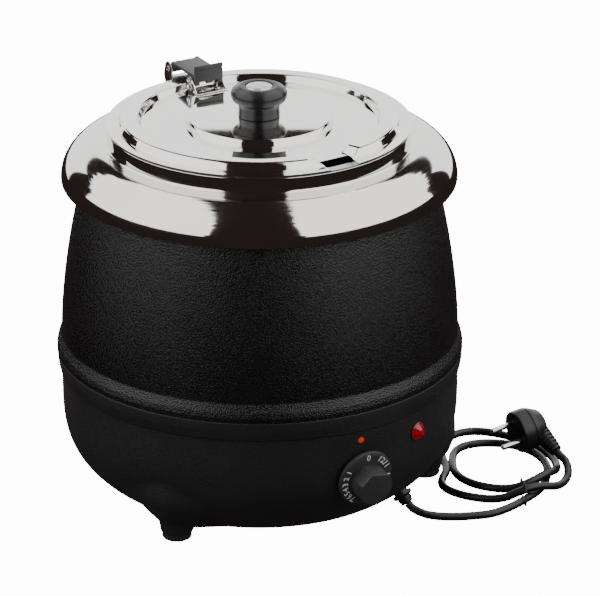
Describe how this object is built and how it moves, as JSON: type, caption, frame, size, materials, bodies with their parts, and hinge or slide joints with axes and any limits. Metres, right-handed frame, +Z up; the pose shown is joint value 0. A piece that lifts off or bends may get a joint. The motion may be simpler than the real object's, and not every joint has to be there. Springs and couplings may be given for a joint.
{
  "type": "soup kettle",
  "caption": "Wet-heat soup kettle: moulded base with dial, black steel shell, chromed crown, lift-out pot and hinged lid with a ladle notch.",
  "frame": {"origin": "floor level, midway between the dial's front and the body's rear, on the centre line", "axes": "+Z up, -Y out through the dial, +X to the right of someone facing the dial"},
  "size_m": [0.4024, 0.3581, 0.3509],
  "materials": {
    "base_plastic": "satin dark grey moulded plastic",
    "shell_paint": "black coarse-textured powder coat",
    "mirror_steel": "mirror-polished stainless steel",
    "brushed_steel": "satin stainless steel",
    "plated_steel": "zinc-plated steel",
    "nickel": "nickel plate",
    "heater_sheath": "oxidised heater sheath",
    "knob_plastic": "satin black heat-resistant plastic",
    "rubber": "black rubber",
    "seal": "silicone",
    "red_lens": "clear red, moulded with facets",
    "red_index": "red",
    "nylon": "natural nylon",
    "copper": "bare copper and brass"
  },
  "bodies": {
    "body": {"base_shell": "base_plastic", "foot_1": "rubber", "foot_2": "rubber", "foot_3": "rubber", "foot_screw_1": "plated_steel", "foot_screw_2": "plated_steel", "foot_screw_3": "plated_steel", "bottom_cover": "plated_steel", "cover_screw_1": "plated_steel", "cover_screw_2": "plated_steel", "cover_screw_3": "plated_steel", "upper_shell": "shell_paint", "crown_ring": "mirror_steel", "crown_seal": "seal", "water_pan": "brushed_steel", "heating_element": "heater_sheath", "heater_plate": "plated_steel", "heater_stud": "plated_steel", "heater_nut": "plated_steel", "thermal_cutout": "nickel", "thermostat_body": "nylon", "thermostat_plate": "plated_steel", "thermostat_screw_left": "plated_steel", "thermostat_screw_right": "plated_steel", "sensing_bulb": "copper", "index_dot": "red_index", "pilot_lamp_lens": "red_lens", "pilot_lamp_nut": "nylon", "pilot_lamp_body": "nylon", "cord_gland": "base_plastic", "gland_nut": "base_plastic", "inner_lead": "rubber", "terminal_block": "nylon", "earth_screw": "copper", "power_cord": "rubber", "cord_tie": "rubber", "plug_body": "base_plastic", "plug_pin_lower": "nickel", "plug_pin_upper": "nickel"},
    "dial": {"dial_knob": "knob_plastic", "thermostat_spindle": "plated_steel"},
    "pot": {"inner_pot": "brushed_steel", "hinge_bracket": "mirror_steel", "clamp_bar": "knob_plastic", "clamp_screw_left": "plated_steel", "clamp_screw_right": "plated_steel", "rear_pin": "nickel"},
    "lid": {"lid": "mirror_steel", "hinge_leaf": "mirror_steel", "hinge_arm": "knob_plastic", "front_pin": "nickel", "leaf_rivet_left": "nickel", "leaf_rivet_right": "nickel", "lid_knob": "knob_plastic", "knob_cap": "brushed_steel", "knob_screw": "plated_steel", "knob_washer": "plated_steel"}
  },
  "joints": [
    {"name": "dial_turn", "type": "hinge", "parent": "body", "child": "dial", "pos_m": [0, -0.15595, 0.064], "axis": [0, 0.9848, 0.1736], "range_deg": [0, 323]},
    {"name": "pot_lift", "type": "slide", "parent": "body", "child": "pot", "axis": [0, 0, 1], "range_m": [0, 0.25]},
    {"name": "lid_hinge", "type": "hinge", "parent": "pot", "child": "lid", "pos_m": [0.00346, 0.14116, 0.3273], "axis": [-0.9997, 0.0262, 0], "range_deg": [0, 95]}
  ]
}
